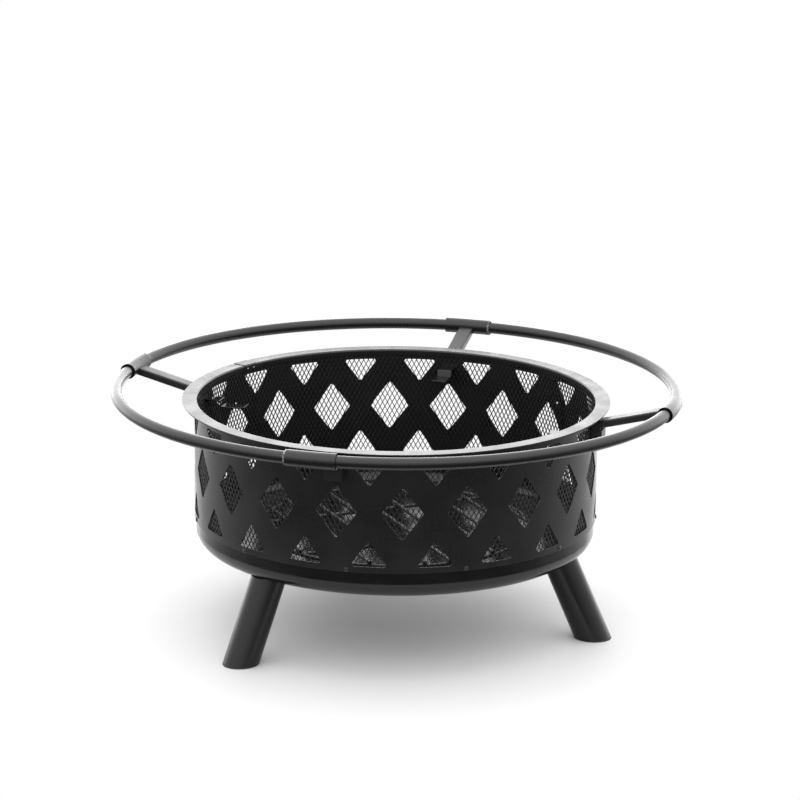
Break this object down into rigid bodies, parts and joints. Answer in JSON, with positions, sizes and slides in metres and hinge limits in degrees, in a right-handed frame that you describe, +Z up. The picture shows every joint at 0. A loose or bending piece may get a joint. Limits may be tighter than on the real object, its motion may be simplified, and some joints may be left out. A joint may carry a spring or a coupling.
{
  "type": "fire pit with grate",
  "caption": "Round black steel fire pit with a pierced diamond wall, mesh liner, splayed tube legs, an outer guard ring on arms and a lift-out wood grate.",
  "frame": {"origin": "on the ground, under the centre of the bowl", "axes": "+Z up; the four arms of the guard ring lie on +X, +Y, -X and -Y; one of the three legs is on +X"},
  "size_m": [0.914, 0.914, 0.3984],
  "materials": {
    "wall_paint": "semi-gloss black heat-resistant paint on sheet steel",
    "rim_paint": "semi-gloss black heat-resistant paint on rolled steel",
    "mesh_paint": "black paint on expanded steel mesh",
    "pan_paint": "semi-gloss black heat-resistant paint on pressed steel",
    "ring_paint": "semi-gloss black paint on steel tube",
    "weld_paint": "black paint over a weld bead",
    "arm_paint": "satin black paint on steel",
    "tab_paint": "gloss black paint on steel strip",
    "leg_paint": "semi-gloss black paint on steel tube",
    "cap_plastic": "black moulded plastic",
    "grate_paint": "black paint on round steel rod",
    "bolt_black": "black oxide with paint",
    "screw_zinc": "zinc plated, partly painted"
  },
  "bodies": {
    "fire_pit": {"pierced_wall": "wall_paint", "rim_ring": "rim_paint", "rim_lap": "rim_paint", "rim_rivets": "screw_zinc", "mesh_liner": "mesh_paint", "mesh_screw": "screw_zinc", "base_pan": "pan_paint", "pan_bolts": "bolt_black", "pan_nuts": "bolt_black", "sleeve_welds": "weld_paint", "leg_bolts": "bolt_black", "leg_washers": "bolt_black", "leg_nuts": "bolt_black", "ring_tube_front_right": "ring_paint", "ring_tube_back_right": "ring_paint", "ring_tube_back_left": "ring_paint", "ring_tube_front_left": "ring_paint", "sleeve_front": "ring_paint", "arm_front": "arm_paint", "bracket_front": "arm_paint", "grate_tab_front": "tab_paint", "sleeve_right": "ring_paint", "arm_right": "arm_paint", "bracket_right": "arm_paint", "grate_tab_right": "tab_paint", "sleeve_back": "ring_paint", "arm_back": "arm_paint", "bracket_back": "arm_paint", "grate_tab_back": "tab_paint", "sleeve_left": "ring_paint", "arm_left": "arm_paint", "bracket_left": "arm_paint", "grate_tab_left": "tab_paint", "leg_right": "leg_paint", "leg_plate_right": "leg_paint", "foot_cap_right": "cap_plastic", "leg_back": "leg_paint", "leg_plate_back": "leg_paint", "foot_cap_back": "cap_plastic", "leg_front": "leg_paint", "leg_plate_front": "leg_paint", "foot_cap_front": "cap_plastic"},
    "wood_grate": {"wood_grate_ring": "grate_paint", "wood_grate_bars": "grate_paint", "wood_grate_cross_bars": "grate_paint", "wood_grate_feet": "grate_paint"}
  },
  "joints": [
    {"name": "grate_lift", "type": "slide", "parent": "fire_pit", "child": "wood_grate", "axis": [0, 0, 1], "range_m": [0, 0.3]}
  ]
}
